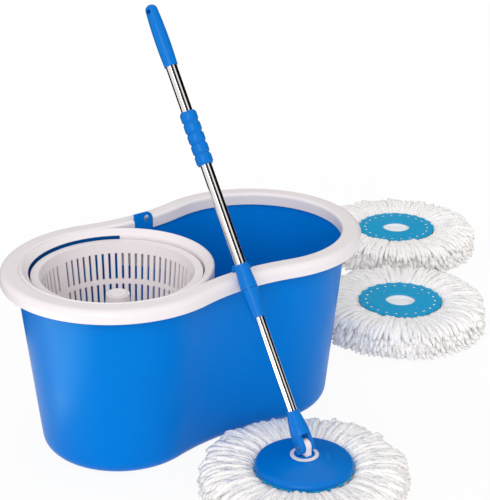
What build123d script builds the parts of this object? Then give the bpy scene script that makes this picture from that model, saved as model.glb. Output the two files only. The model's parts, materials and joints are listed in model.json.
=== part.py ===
"""Spin mop set: a figure-eight bucket with a spin basket, a press-to-spin mop and two spare heads."""

import os
from math import asin, atan2, cos, degrees, hypot, pi, radians, sin, sqrt

from build123d import *

os.makedirs("parts", exist_ok=True)

# Clearances
seat_gap = 0.2       # round pieces that are fixed to each other
press_gap = 0.02     # pins and bushes pushed home
running_gap = 0.05   # shafts that turn in their bores
sliding_gap = 0.35   # pieces that pass each other

# Bucket tub, standing on z = 0 with its long side along X
lobe_offset = 105.0      # bucket centre to the axis of each lobe
rim_radius = 145.0       # outer edge of the frame round a lobe
waist_radius = 260.0     # outer edge of the frame at the drawn-in waist
bucket_height = 246.0
rim_overhang = 20.5      # frame's outer edge to the tub wall
wall = 2.5
wall_taper = 24.5        # how far each side leans in towards the base
neck_height = 20.0       # upright band of the tub inside the frame
base_thickness = 4.0
base_corner = 20.0

# Post and spindle that carry the basket
post_foot_radius = 34.0
post_top_radius = 15.0
post_wall = 3.0
post_plug = 30.0
spindle_radius = 4.0
spindle_sink = 25.0
washer_radius = 12.0
washer_thickness = 1.5
clip_radius = 6.5
clip_thickness = 1.2
clip_groove = 0.8
clip_land = 1.5          # spindle above the clip
bush_flange = 3.0

# Upper frame
frame_plate = 2.5
frame_lip = 2.0
rim_skirt = 16.5
rim_shoulder = 8.0
lip_round = 4.0          # rounded inner edge of the frame and of the collar
collar_width = 11.8      # sloping collar outside the open ring
collar_drop = 7.0        # how far the collar slopes down to its hole
basket_gap = 2.5         # ring of open space round the basket
guard_depth = 43.0       # half skirt between the basket and the wash side
guard_half_angle = 55.0

# Ears at the waist
ear_shift = 12.5         # hole from the middle of the bucket
ear_back = 19.0          # hole to the square end of the ear
ear_eye_radius = 9.0
ear_thickness = 8.0
ear_hole_drop = 1.7      # hole centre below the top of the frame
ear_hole_radius = 5.0
ear_clear = 1.0

# Spin basket
basket_flange = 10.5     # flat rim outside the mouth
basket_lean = 9.0        # how far the wall leans in from the mouth to the floor
basket_rim_drop = 11.2   # basket edge below the top of the frame
basket_depth = 97.0
basket_plate = 2.5
basket_lip = 7.0
hub_radius = 19.0
hub_top_radius = 15.0
hub_height = 65.0
hub_tube_wall = 3.0
hub_drop = 16.5          # bearing end of the hub below the basket floor
bush_radius = 8.0
slot_width = 3.0
upper_slot_height = 35.0
lower_slot_height = 30.0
slot_lift = 8.0          # foot of the lower slots above the basket floor
slot_band = 6.5          # plain band between the two rows
rib_count = 3
rib_turn = -15.0         # first rib from +X
slots_per_bay = 22
floor_slot_count = 36
floor_slot_start = 15.0  # hub to the inner end of the floor slots
floor_slot_margin = 8.0  # wall to their outer end
cap_radius = 12.0
cap_plug = 6.0
cap_dome = 2.0
cap_round = 1.4

# Mop head, standing on its strands in front of the waist
mop_x = -9.0
mop_y = -256.0
lean_heading = 90.0      # compass of the lean, from +X towards +Y
plate_radius = 60.5
plate_sheet = 3.0
plate_top = 58.0
plate_edge = 51.0        # height of the dome where it rolls over
plate_roll = 7.0
lug_base_radius = 17.5
lug_thickness = 8.0
lug_width = 17.0
pivot_height = 70.0
lug_sink = 4.0
lug_proud = 1.0
screw_radius = 2.5
screw_grip = 9.0
screw_head = 2.5
screw_head_radius = 6.0
rib_radius = 42.0        # locating rib under the plate
pin_radius = 3.0
boss_drop = 2.0          # boss under the plate below the refill ring
ring_radius = 59.5
ring_bore = 22.0
ring_sheet = 3.0
ring_top = 43.0
scallop_radius = 5.0
scallop_rise = 2.5       # bumps beyond the ring's edge
ring_hole_count = 22
ring_hole_length = 8.0
ring_hole_width = 4.6
ring_hole_circle = 51.0
ring_eye_count = 4
ring_eye_radius = 2.0
ring_eye_circle = 36.0
strand_radius = 128.0
strand_gap = 0.4
strand_hollow = 3.0      # open space under the boss of the plate
strand_crown = 44.0      # highest point of the strands beside the plate
strand_shoulder = 36.0   # height half-way out
strand_tip = 12.0        # height of the outermost tips
strand_tuck = 6.0        # how far they draw in below that
flute_count = 30
flute_size = 6.0

# Pole, measured from the pivot along its own axis
fork_gap = 0.5
prong_thickness = 6.5
fork_shoulder = 20.0
fork_length = 44.0
fork_radius = 12.0
fork_neck_radius = 7.6
lower_tube_radius = 5.9
outer_tube_radius = 7.1
tube_wall = 0.8
socket_depth = 22.0
press_travel = 95.0
lock_ring_length = 36.5
lock_body_length = 31.0
lock_flange_radius = 10.8
lock_tail_radius = 8.2
lock_neck_radius = 8.6
lock_rest = 12.5         # where the body lies on the rim, above the parting line
fin_thickness = 3.0
collet_length = 20.0
collet_slit = 1.5
tube_overlap = 63.5      # lower tube above the parting line of the lock
lock_seat = 8.0
lock_flange = 4.0
fin_chamfer = 10.0
collet_wall = 1.6
upper_bare = 60.0        # bare tube between the sleeve and the grip
sleeve_length = 69.0
sleeve_rings = 5
sleeve_radius = 10.6
sleeve_waist_radius = 9.0
sleeve_shoulder = 2.8    # slope at each end of a ring
grip_length = 81.0
grip_mouth_radius = 8.4
grip_belly_radius = 9.2
grip_belly = 36.0        # widest place above the mouth
grip_tip_radius = 7.6
grip_socket = 40.0
grip_round = 6.5
hang_hole_turn = 21.0
hang_hole_radius = 3.0
hang_hole_inset = 9.0
lean_clear = 0.9

# Twisted drive rod
rod_width = 6.4
rod_thickness = 2.0
rod_lead = 66.0          # length of one full turn
rod_fit = 0.1            # rod in its anchor
rod_tail = 18.0          # rod below the nut with the handle drawn out
twist_step = 30.0
nut_length = 14.0
slide_bush_flange = 4.0
slide_bush_plug = 12.0
stop_gap = 1.0
anchor_length = 18.0
joiner_length = 26.0
joiner_wall = 2.0

# Spare heads lying on the floor beside the wash lobe
spare_clear = 36.0       # first spare to the frame
spare_heading = 6.7      # its direction from the wash lobe, from +X towards +Y
pair_clear = 34.5        # between the two spares
pair_heading = 49.2


def export(piece, name):
    """Label a finished piece and write it under its own name."""
    piece.part.label = name
    export_step(piece.part, f"parts/{name}.step")


def upright(x, y, across=(1, 0, 0)):
    """Section plane through a vertical axis: sketch x is the radius and sketch y the height."""
    side = Vector(*across)
    return Plane(origin=(x, y, 0), x_dir=side, z_dir=side.cross(Vector(0, 0, 1)))


# Figure-eight outline: two lobe arcs joined by two waist arcs that touch them smoothly
tangent_length = rim_radius + waist_radius
waist_centre = sqrt(tangent_length**2 - lobe_offset**2)
waist_half = waist_centre - waist_radius


def lobed_face(inset):
    """Face inside the frame's outer edge, drawn in by inset all round."""
    reach = (rim_radius - inset) / tangent_length
    joint_x = lobe_offset * (1 - reach)
    joint_y = waist_centre * reach
    end_x = lobe_offset + rim_radius - inset
    waist_y = waist_half - inset
    with BuildSketch() as face:
        with BuildLine():
            ThreePointArc((joint_x, -joint_y), (end_x, 0), (joint_x, joint_y))
            ThreePointArc((joint_x, joint_y), (0, waist_y), (-joint_x, joint_y))
            ThreePointArc((-joint_x, joint_y), (-end_x, 0), (-joint_x, -joint_y))
            ThreePointArc((-joint_x, -joint_y), (0, -waist_y), (joint_x, -joint_y))
        make_face()
    return face.sketch


basket_x = -lobe_offset
basket_side = upright(basket_x, 0)
basket_axis = Axis((basket_x, 0, 0), (0, 0, 1))
tub_top = bucket_height - frame_plate
neck_foot = tub_top - neck_height
lip_inset = rim_overhang + wall + seat_gap
rim_width = lip_inset + frame_lip
ear_outer = waist_half - rim_overhang - seat_gap
ear_inner = ear_outer - ear_thickness
ear_hole_height = bucket_height - ear_hole_drop
collar_edge = rim_radius - rim_width + frame_lip
collar_hole = collar_edge - collar_width
basket_rim = collar_hole - basket_gap
basket_mouth = basket_rim - basket_flange
basket_floor = basket_mouth - basket_lean
floor_slot_inner = hub_radius + floor_slot_start
floor_slot_outer = basket_floor - floor_slot_margin


def tub_inset(height):
    """Inset of the tub's outer wall at a height below its neck."""
    return rim_overhang + wall_taper * (1 - height / neck_foot)


# Heights of the basket and of what carries it
basket_edge = bucket_height - basket_rim_drop
basket_base = basket_edge - basket_depth
floor_top = basket_base + basket_plate
hub_top = floor_top + hub_height
bush_foot = basket_base - hub_drop
post_height = bush_foot - sliding_gap - washer_thickness
hub_tube_foot = bush_foot + bush_flange
hub_tube_radius = bush_radius + hub_tube_wall
cap_foot = hub_top - cap_plug
spindle_top = cap_foot - sliding_gap
clip_top = spindle_top - clip_land
bush_top = clip_top - clip_thickness - sliding_gap

# Space inside the tub, rounded at its floor
with BuildPart() as tub_space:
    with BuildSketch(Plane.XY.offset(base_thickness)):
        add(lobed_face(tub_inset(base_thickness) + wall))
    with BuildSketch(Plane.XY.offset(neck_foot)):
        add(lobed_face(rim_overhang + wall))
    loft(ruled=True)
    fillet(tub_space.edges().group_by(Axis.Z)[0], base_corner - wall)
    with BuildSketch(Plane.XY.offset(neck_foot)):
        add(lobed_face(rim_overhang + wall))
    extrude(amount=neck_height)

# Tub with its hollow post and the two ears
with BuildPart() as bucket_shell:
    with BuildSketch():
        add(lobed_face(tub_inset(0)))
    with BuildSketch(Plane.XY.offset(neck_foot)):
        add(lobed_face(rim_overhang))
    loft(ruled=True)
    fillet(bucket_shell.edges().group_by(Axis.Z)[0], base_corner)
    with BuildSketch(Plane.XY.offset(neck_foot)):
        add(lobed_face(rim_overhang))
    extrude(amount=neck_height)
    add(tub_space.part, mode=Mode.SUBTRACT)
    with BuildSketch(basket_side):
        with BuildLine():
            Polyline(
                (0, 0),
                (post_foot_radius, 0),
                (post_top_radius, post_height),
                (0, post_height),
                close=True,
            )
        make_face()
    revolve(axis=basket_axis)
    with BuildSketch(basket_side):
        with BuildLine():
            Polyline(
                (0, 0),
                (post_foot_radius - post_wall, 0),
                (post_top_radius - post_wall, post_height - post_plug),
                (0, post_height - post_plug),
                close=True,
            )
        make_face()
    revolve(axis=basket_axis, mode=Mode.SUBTRACT)
    with Locations((basket_x, 0, post_height)):
        Hole(spindle_radius + press_gap, depth=spindle_sink)
    for side in (1, -1):
        ear_face = Plane(origin=(ear_shift, side * ear_inner, 0), x_dir=(1, 0, 0), z_dir=(0, -1, 0))
        with BuildSketch(ear_face):
            with Locations((0, ear_hole_height)):
                Circle(ear_eye_radius)
            with Locations((-ear_back, ear_hole_height)):
                Rectangle(ear_back, ear_eye_radius, align=Align.MIN)
            with Locations((-ear_back, neck_foot)):
                Rectangle(ear_back + ear_eye_radius, ear_hole_height - neck_foot, align=Align.MIN)
        extrude(amount=-side * ear_thickness)
        with BuildSketch(ear_face):
            with Locations((0, ear_hole_height)):
                Circle(ear_hole_radius)
        extrude(amount=-side * (ear_thickness + wall), mode=Mode.SUBTRACT)
export(bucket_shell, "bucket_shell")

# White upper frame: channel rim, collar round the basket, half skirt on the wash side
collar_foot = bucket_height - collar_drop
with BuildPart() as rim_frame:
    with BuildSketch(Plane.XY.offset(bucket_height - rim_skirt)):
        add(lobed_face(0))
        add(lobed_face(rim_width), mode=Mode.SUBTRACT)
    extrude(amount=rim_skirt)
    crown = rim_frame.faces().sort_by(Axis.Z)[-1]
    fillet(crown.inner_wires().edges(), lip_round)
    crown = rim_frame.faces().sort_by(Axis.Z)[-1]
    fillet(crown.outer_wire().edges(), rim_shoulder)
    with BuildSketch(Plane.XY.offset(bucket_height - rim_skirt)):
        add(lobed_face(frame_plate))
        add(lobed_face(lip_inset), mode=Mode.SUBTRACT)
    extrude(amount=rim_skirt - frame_plate, mode=Mode.SUBTRACT)
    ceiling = rim_frame.faces().filter_by(Plane.XY).group_by(Axis.Z)[-2][0]
    fillet(ceiling.outer_wire().edges(), rim_shoulder - frame_plate)
    with BuildSketch(basket_side):
        with BuildLine():
            Polyline(
                (collar_edge, bucket_height - lip_round),
                (collar_edge, bucket_height - rim_skirt),
                (collar_edge - frame_lip, bucket_height - rim_skirt),
                (collar_edge - frame_lip, bucket_height - frame_plate),
                (collar_hole, collar_foot - frame_plate),
                (collar_hole, collar_foot),
                (collar_edge - lip_round, bucket_height),
            )
            RadiusArc(
                (collar_edge - lip_round, bucket_height),
                (collar_edge, bucket_height - lip_round),
                lip_round,
            )
        make_face()
    revolve(axis=basket_axis)
    guard_start = (cos(radians(guard_half_angle)), -sin(radians(guard_half_angle)), 0)
    with BuildSketch(upright(basket_x, 0, across=guard_start)):
        with Locations((collar_hole, collar_foot - guard_depth)):
            Rectangle(frame_plate, guard_depth, align=Align.MIN)
    revolve(axis=basket_axis, revolution_arc=2 * guard_half_angle)
    ear_middle = ear_shift + (ear_eye_radius - ear_back) / 2
    for side in (1, -1):
        with Locations((ear_middle, side * (ear_inner + ear_outer) / 2, bucket_height)):
            Box(
                ear_back + ear_eye_radius + 2 * ear_clear,
                ear_thickness + 2 * ear_clear,
                2 * rim_skirt + ear_clear,
                mode=Mode.SUBTRACT,
            )
export(rim_frame, "rim_frame")

# Spin basket: conical wall, flat floor and raised hub, slotted all round
with BuildPart() as spin_basket:
    with BuildSketch(basket_side):
        with BuildLine():
            Polyline(
                (basket_floor + basket_plate, basket_base),
                (basket_mouth + basket_plate, basket_edge - basket_plate),
                (basket_rim - basket_plate, basket_edge - basket_plate),
                (basket_rim - basket_plate, basket_edge - basket_lip),
                (basket_rim, basket_edge - basket_lip),
                (basket_rim, basket_edge),
                (basket_mouth, basket_edge),
                (basket_floor, floor_top),
                (hub_radius, floor_top),
                (hub_top_radius, hub_top),
                (bush_radius + press_gap, hub_top),
                (bush_radius + press_gap, hub_tube_foot),
                (hub_tube_radius, hub_tube_foot),
                (hub_tube_radius, hub_top - basket_plate),
                (hub_top_radius - basket_plate, hub_top - basket_plate),
                (hub_radius - basket_plate, basket_base),
                close=True,
            )
        make_face()
    revolve(axis=basket_axis)
    bay = 360 / rib_count
    pitch = bay / (slots_per_bay + 1)
    lower_foot = floor_top + slot_lift
    upper_foot = lower_foot + lower_slot_height + slot_band
    for rib in range(rib_count):
        for foot, height in ((lower_foot, lower_slot_height), (upper_foot, upper_slot_height)):
            with Locations((basket_x, 0, foot + height / 2)):
                with PolarLocations(
                    (basket_floor + basket_mouth + basket_plate) / 2,
                    slots_per_bay,
                    start_angle=rib_turn + rib * bay + pitch,
                    angular_range=(slots_per_bay - 1) * pitch,
                    endpoint=True,
                ):
                    Box(basket_lean + 2 * basket_plate, slot_width, height, mode=Mode.SUBTRACT)
    with Locations((basket_x, 0, (basket_base + floor_top) / 2)):
        with PolarLocations((floor_slot_inner + floor_slot_outer) / 2, floor_slot_count):
            Box(floor_slot_outer - floor_slot_inner, slot_width, 2 * basket_plate, mode=Mode.SUBTRACT)
export(spin_basket, "spin_basket")

# Spindle, washer and clip that stay with the tub
with BuildPart() as basket_spindle:
    with BuildSketch(Plane.XY.offset(post_height - spindle_sink)):
        with Locations((basket_x, 0)):
            Circle(spindle_radius)
    extrude(amount=spindle_top - post_height + spindle_sink)
    with BuildSketch(Plane.XY.offset(clip_top - clip_thickness)):
        with Locations((basket_x, 0)):
            Circle(spindle_radius)
            Circle(spindle_radius - clip_groove, mode=Mode.SUBTRACT)
    extrude(amount=clip_thickness, mode=Mode.SUBTRACT)
export(basket_spindle, "basket_spindle")

with BuildPart() as thrust_washer:
    with BuildSketch(Plane.XY.offset(post_height)):
        with Locations((basket_x, 0)):
            Circle(washer_radius)
            Circle(spindle_radius + seat_gap, mode=Mode.SUBTRACT)
    extrude(amount=washer_thickness)
export(thrust_washer, "thrust_washer")

with BuildPart() as spindle_clip:
    with BuildSketch(Plane.XY.offset(clip_top - clip_thickness)):
        with Locations((basket_x, 0)):
            Circle(clip_radius)
            Circle(spindle_radius - clip_groove + press_gap, mode=Mode.SUBTRACT)
        with Locations((basket_x + clip_radius, 0)):
            Rectangle(2 * clip_radius, spindle_radius, mode=Mode.SUBTRACT)
    extrude(amount=clip_thickness)
export(spindle_clip, "spindle_clip")

# Flanged bush in the basket's hub, and the cap that closes the hub
with BuildPart() as basket_bush:
    with BuildSketch(Plane.XY.offset(bush_foot)):
        with Locations((basket_x, 0)):
            Circle(hub_tube_radius)
    extrude(amount=bush_flange)
    with BuildSketch(Plane.XY.offset(hub_tube_foot)):
        with Locations((basket_x, 0)):
            Circle(bush_radius)
    extrude(amount=bush_top - hub_tube_foot)
    with Locations((basket_x, 0, bush_top)):
        Hole(spindle_radius + running_gap)
export(basket_bush, "basket_bush")

with BuildPart() as hub_cap:
    with BuildSketch(Plane.XY.offset(cap_foot)):
        with Locations((basket_x, 0)):
            Circle(bush_radius)
    extrude(amount=cap_plug)
    with BuildSketch(Plane.XY.offset(hub_top)):
        with Locations((basket_x, 0)):
            Circle(cap_radius)
    extrude(amount=cap_dome)
    fillet(hub_cap.edges().group_by(Axis.Z)[-1], cap_round)
export(hub_cap, "hub_cap")

# Directions of the mop: the lean, the hinge across it, and the pole that rests on the rim's shoulder
lean = Vector(cos(radians(lean_heading)), sin(radians(lean_heading)), 0)
hinge = lean.cross(Vector(0, 0, 1))
from_waist = Vector(mop_x, mop_y + waist_centre, 0)
along = from_waist.dot(lean)
reach = sqrt(along**2 - from_waist.dot(from_waist) + (waist_radius + rim_shoulder) ** 2) - along
rise = bucket_height - rim_shoulder - pivot_height
shoulder_distance = hypot(reach, rise)
rest_share = (lock_rest - lock_flange) / (lock_body_length - lock_flange)
rest_radius = lock_flange_radius - (lock_flange_radius - lock_neck_radius) * rest_share
rest_gap = rim_shoulder + rest_radius + lean_clear
tilt = atan2(reach, rise) - asin(rest_gap / shoulder_distance)
lock_part = sqrt(shoulder_distance**2 - rest_gap**2) - lock_rest

pivot = Vector(mop_x, mop_y, pivot_height)
pole_dir = lean * sin(tilt) + Vector(0, 0, cos(tilt))
pole = Plane(origin=pivot, x_dir=hinge, z_dir=pole_dir)
pole_side = Plane(origin=pivot, x_dir=hinge, z_dir=hinge.cross(pole_dir))
pole_axis = Axis(pivot, pole_dir)
head_axis = Axis((mop_x, mop_y, 0), (0, 0, 1))
head_side = upright(mop_x, mop_y, across=tuple(hinge))

# Mop head: domed plate with a pocket for the lug, a boss for the refill and a rim round it
pocket_floor = plate_top - lug_sink
ring_foot = ring_top - ring_sheet
boss_foot = ring_foot - boss_drop
ring_tip = ring_radius + scallop_rise
roll_start = plate_radius - plate_roll
with BuildPart() as mop_plate:
    with BuildSketch(head_side):
        with BuildLine():
            Polyline(
                (screw_radius + seat_gap, pocket_floor - plate_sheet),
                (screw_radius + seat_gap, pocket_floor),
                (lug_base_radius + seat_gap, pocket_floor),
                (lug_base_radius + seat_gap, plate_top),
                (lug_base_radius + plate_sheet, plate_top),
                (roll_start, plate_edge),
            )
            ThreePointArc(
                (roll_start, plate_edge),
                (roll_start + plate_roll * sin(pi / 4), plate_edge - plate_roll * (1 - cos(pi / 4))),
                (plate_radius, plate_edge - plate_roll),
            )
            Polyline(
                (plate_radius, plate_edge - plate_roll),
                (plate_radius, ring_top),
                (plate_radius - plate_sheet, ring_top),
                (plate_radius - plate_sheet, plate_edge - plate_roll),
                (roll_start, plate_edge - plate_sheet),
                (rib_radius + plate_sheet, plate_edge - plate_sheet),
                (rib_radius + plate_sheet, ring_top),
                (rib_radius, ring_top),
                (rib_radius, plate_edge - plate_sheet),
                (ring_bore - seat_gap, pocket_floor - plate_sheet),
                (ring_bore - seat_gap, boss_foot),
                (ring_bore - seat_gap - plate_sheet, boss_foot),
                (ring_bore - seat_gap - plate_sheet, pocket_floor - plate_sheet),
                (screw_radius + seat_gap, pocket_floor - plate_sheet),
            )
        make_face()
    revolve(axis=head_axis)
export(mop_plate, "mop_plate")

with BuildPart() as swivel_lug:
    with BuildSketch(Plane(origin=(mop_x, mop_y, pocket_floor), x_dir=hinge)):
        Circle(lug_base_radius)
    extrude(amount=lug_sink + lug_proud)
    with BuildSketch(Plane(origin=pivot - hinge * (lug_thickness / 2), x_dir=lean, z_dir=hinge)):
        Circle(lug_width / 2)
        with Locations((0, (pivot_height - plate_top) / -2)):
            Rectangle(lug_width, pivot_height - plate_top)
        Circle(pin_radius + running_gap, mode=Mode.SUBTRACT)
    extrude(amount=lug_thickness)
    with BuildSketch(Plane(origin=(mop_x, mop_y, pocket_floor), x_dir=hinge)):
        Circle(screw_radius + press_gap)
    extrude(amount=screw_grip + press_gap, mode=Mode.SUBTRACT)
export(swivel_lug, "swivel_lug")

with BuildPart() as lug_screw:
    with BuildSketch(head_side):
        with BuildLine():
            Polyline(
                (0, pocket_floor + screw_grip),
                (screw_radius, pocket_floor + screw_grip),
                (screw_radius, pocket_floor - plate_sheet),
                (screw_head_radius, pocket_floor - plate_sheet),
                (screw_head_radius, pocket_floor - plate_sheet - screw_head),
                (0, pocket_floor - plate_sheet - screw_head),
                close=True,
            )
        make_face()
    revolve(axis=head_axis)
export(lug_screw, "lug_screw")

# Refill heads: a holed ring over a skirt of strands, one on the mop and two lying beside the bucket
spare_reach = rim_radius + spare_clear + strand_radius
pair_reach = pair_clear + 2 * strand_radius
spare_1 = Vector(lobe_offset, 0) + Vector(spare_reach, 0).rotate(Axis.Z, spare_heading)
spare_2 = spare_1 + Vector(pair_reach, 0).rotate(Axis.Z, pair_heading)
heads = [
    ("refill", mop_x, mop_y),
    ("spare_1", spare_1.X, spare_1.Y),
    ("spare_2", spare_2.X, spare_2.Y),
]
pad_top = boss_foot - strand_hollow
dome_middle = (ring_tip + strand_radius) / 2
dome_slope = degrees(atan2(strand_crown - strand_tip, strand_radius - ring_tip))

for name, head_x, head_y in heads:
    side = upright(head_x, head_y, across=tuple(hinge))
    axis = Axis((head_x, head_y, 0), (0, 0, 1))
    with BuildPart() as refill_ring:
        with BuildSketch(Plane.XY.offset(ring_foot)):
            with Locations((head_x, head_y)):
                Circle(ring_radius)
                with PolarLocations(ring_tip - scallop_radius, ring_hole_count):
                    Circle(scallop_radius)
                Circle(ring_bore, mode=Mode.SUBTRACT)
                with PolarLocations(ring_hole_circle, ring_hole_count, start_angle=180 / ring_hole_count):
                    SlotOverall(ring_hole_length, ring_hole_width, rotation=90, mode=Mode.SUBTRACT)
                with PolarLocations(ring_eye_circle, ring_eye_count):
                    Circle(ring_eye_radius, mode=Mode.SUBTRACT)
        extrude(amount=ring_sheet)
    export(refill_ring, f"{name}_ring")

    with BuildPart() as strands:
        with BuildSketch(side):
            with BuildLine():
                Polyline(
                    (strand_radius, strand_tip),
                    (strand_radius - strand_tuck, 0),
                    (0, 0),
                    (0, pad_top),
                    (ring_bore + strand_gap, pad_top),
                    (ring_bore + strand_gap, ring_foot - strand_gap),
                    (ring_tip + strand_gap, ring_foot - strand_gap),
                    (ring_tip + strand_gap, strand_crown),
                )
                ThreePointArc(
                    (ring_tip + strand_gap, strand_crown),
                    (dome_middle, strand_shoulder),
                    (strand_radius, strand_tip),
                )
            make_face()
        revolve(axis=axis)
        with Locations((head_x, head_y, strand_shoulder)):
            with PolarLocations(dome_middle + flute_size, flute_count):
                Box(
                    strand_radius - ring_tip,
                    flute_size,
                    flute_size,
                    rotation=(45, dome_slope, 0),
                    mode=Mode.SUBTRACT,
                )
    export(strands, f"{name}_strands")

# Places along the pole, measured from the pivot
tube_foot = fork_length - socket_depth
tube_top = lock_part + tube_overlap
nut_top = tube_top - slide_bush_plug
anchor_foot = tube_top + slide_bush_flange + press_travel + stop_gap
tube_joint = anchor_foot + anchor_length + seat_gap + joiner_length / 2
grip_foot = tube_joint + sleeve_length / 2 + upper_bare
grip_tip = grip_foot + grip_length
lower_bore = lower_tube_radius - tube_wall
slide_bush_bore = hypot(rod_width, rod_thickness) / 2 + sliding_gap
outer_bore = outer_tube_radius - tube_wall

# Fork that straddles the lug, with a socket for the lower tube
prong_inner = lug_thickness / 2 + fork_gap
with BuildPart() as pole_fork:
    for direction in (1, -1):
        prong_face = pivot + hinge * (direction * prong_inner)
        with BuildSketch(Plane(origin=prong_face, x_dir=pole.y_dir, z_dir=hinge)):
            Circle(lug_width / 2)
            with Locations((0, fork_shoulder / 2)):
                Rectangle(lug_width, fork_shoulder)
            Circle(pin_radius + press_gap, mode=Mode.SUBTRACT)
        extrude(amount=direction * prong_thickness)
    with BuildSketch(pole_side):
        with BuildLine():
            Polyline(
                (0, fork_shoulder - prong_thickness),
                (fork_radius, fork_shoulder - prong_thickness),
                (fork_radius, fork_shoulder),
                (fork_neck_radius, fork_length),
                (lower_tube_radius + press_gap, fork_length),
                (lower_tube_radius + press_gap, tube_foot),
                (0, tube_foot),
                close=True,
            )
        make_face()
    revolve(axis=pole_axis)
    with BuildSketch(pole.offset(-lug_width)):
        Circle(fork_radius)
    extrude(amount=lug_width + fork_length, mode=Mode.INTERSECT)
export(pole_fork, "pole_fork")

with BuildPart() as pivot_pin:
    with BuildSketch(Plane(origin=pivot, x_dir=lean, z_dir=hinge)):
        Circle(pin_radius)
    extrude(amount=prong_inner + prong_thickness, both=True)
export(pivot_pin, "pivot_pin")


def pole_tube(radius, start, end):
    """Thin steel tube on the pole's axis."""
    with BuildPart() as tube:
        with BuildSketch(pole.offset(start)):
            Circle(radius)
            Circle(radius - tube_wall, mode=Mode.SUBTRACT)
        extrude(amount=end - start)
    return tube


def twisted_bar(start, end, grow):
    """Flat bar twisted about the pole's axis, larger than the rod by grow on every side."""
    turns = max(2, round((end - start) / rod_lead * 360 / twist_step))
    with BuildPart() as bar:
        for step in range(turns + 1):
            place = start + (end - start) * step / turns
            with BuildSketch(pole.offset(place)):
                Rectangle(rod_width + 2 * grow, rod_thickness + 2 * grow, rotation=360 * place / rod_lead)
        loft()
    return bar.part


lower_tube = pole_tube(lower_tube_radius, tube_foot, tube_top)
export(lower_tube, "lower_tube")
outer_tube = pole_tube(outer_tube_radius, lock_part + lock_seat, tube_joint)
export(outer_tube, "outer_tube")
upper_tube = pole_tube(outer_tube_radius, tube_joint + seat_gap, grip_foot + grip_socket)
export(upper_tube, "upper_tube")

# Drive inside the pole: the rod turns the nut when the handle is pressed down
rod_foot = nut_top - nut_length - rod_tail
rod_top = anchor_foot + anchor_length - stop_gap
with BuildPart() as drive_rod:
    add(twisted_bar(rod_foot, rod_top, 0))
export(drive_rod, "drive_rod")

with BuildPart() as drive_nut:
    with BuildSketch(pole.offset(nut_top - nut_length)):
        Circle(lower_bore - press_gap)
    extrude(amount=nut_length)
    add(twisted_bar(nut_top - nut_length - stop_gap, nut_top + stop_gap, sliding_gap), mode=Mode.SUBTRACT)
export(drive_nut, "drive_nut")

with BuildPart() as slide_bush:
    with BuildSketch(pole.offset(nut_top)):
        Circle(lower_bore - press_gap)
        Circle(slide_bush_bore, mode=Mode.SUBTRACT)
    extrude(amount=slide_bush_plug)
    with BuildSketch(pole.offset(tube_top)):
        Circle(outer_bore - sliding_gap)
        Circle(slide_bush_bore, mode=Mode.SUBTRACT)
    extrude(amount=slide_bush_flange)
export(slide_bush, "slide_bush")

with BuildPart() as rod_anchor:
    with BuildSketch(pole.offset(anchor_foot)):
        Circle(outer_bore - press_gap)
    extrude(amount=anchor_length)
    add(twisted_bar(anchor_foot - stop_gap, rod_top, rod_fit), mode=Mode.SUBTRACT)
export(rod_anchor, "rod_anchor")

with BuildPart() as tube_joiner:
    with BuildSketch(pole.offset(tube_joint - joiner_length / 2)):
        Circle(outer_bore - press_gap)
        Circle(outer_bore - joiner_wall, mode=Mode.SUBTRACT)
    extrude(amount=joiner_length)
export(tube_joiner, "tube_joiner")

# Lock: an upper body on the outer tube, a twist ring below it and a split collet inside
slide_bore = lower_tube_radius + sliding_gap
with BuildPart() as lock_body:
    with BuildSketch(pole_side):
        with BuildLine():
            Polyline(
                (slide_bore, lock_part),
                (lock_flange_radius, lock_part),
                (lock_flange_radius, lock_part + lock_flange),
                (lock_neck_radius, lock_part + lock_body_length),
                (outer_tube_radius + press_gap, lock_part + lock_body_length),
                (outer_tube_radius + press_gap, lock_part + lock_seat),
                (slide_bore, lock_part + lock_seat),
                close=True,
            )
        make_face()
    revolve(axis=pole_axis)
export(lock_body, "lock_body")

ring_head = lock_part - sliding_gap
ring_tail = lock_part - lock_ring_length
collet_radius = slide_bore + collet_wall
with BuildPart() as lock_ring:
    with BuildSketch(pole_side):
        with BuildLine():
            Polyline(
                (slide_bore, ring_tail),
                (lock_tail_radius, ring_tail),
                (lock_flange_radius - sliding_gap, ring_head - lock_flange),
                (lock_flange_radius - sliding_gap, ring_head),
                (collet_radius + sliding_gap, ring_head),
                (collet_radius + sliding_gap, ring_head - collet_length - sliding_gap),
                (slide_bore, ring_head - collet_length - sliding_gap),
                close=True,
            )
        make_face()
    revolve(axis=pole_axis)
    with BuildSketch(pole_side):
        with BuildLine():
            Polyline(
                (lock_tail_radius - tube_wall, ring_tail),
                (lock_tail_radius, ring_tail),
                (lock_flange_radius - sliding_gap, ring_tail + fin_chamfer),
                (lock_flange_radius - sliding_gap, ring_head),
                (lock_flange_radius - sliding_gap - tube_wall, ring_head),
                close=True,
            )
        make_face()
    extrude(amount=fin_thickness / 2, both=True)
export(lock_ring, "lock_ring")

with BuildPart() as lock_collet:
    with BuildSketch(pole.offset(ring_head - collet_length)):
        Circle(collet_radius)
        Circle(slide_bore, mode=Mode.SUBTRACT)
        with Locations((collet_radius, 0)):
            Rectangle(2 * collet_radius, collet_slit, mode=Mode.SUBTRACT)
    extrude(amount=collet_length - sliding_gap)
export(lock_collet, "lock_collet")

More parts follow.
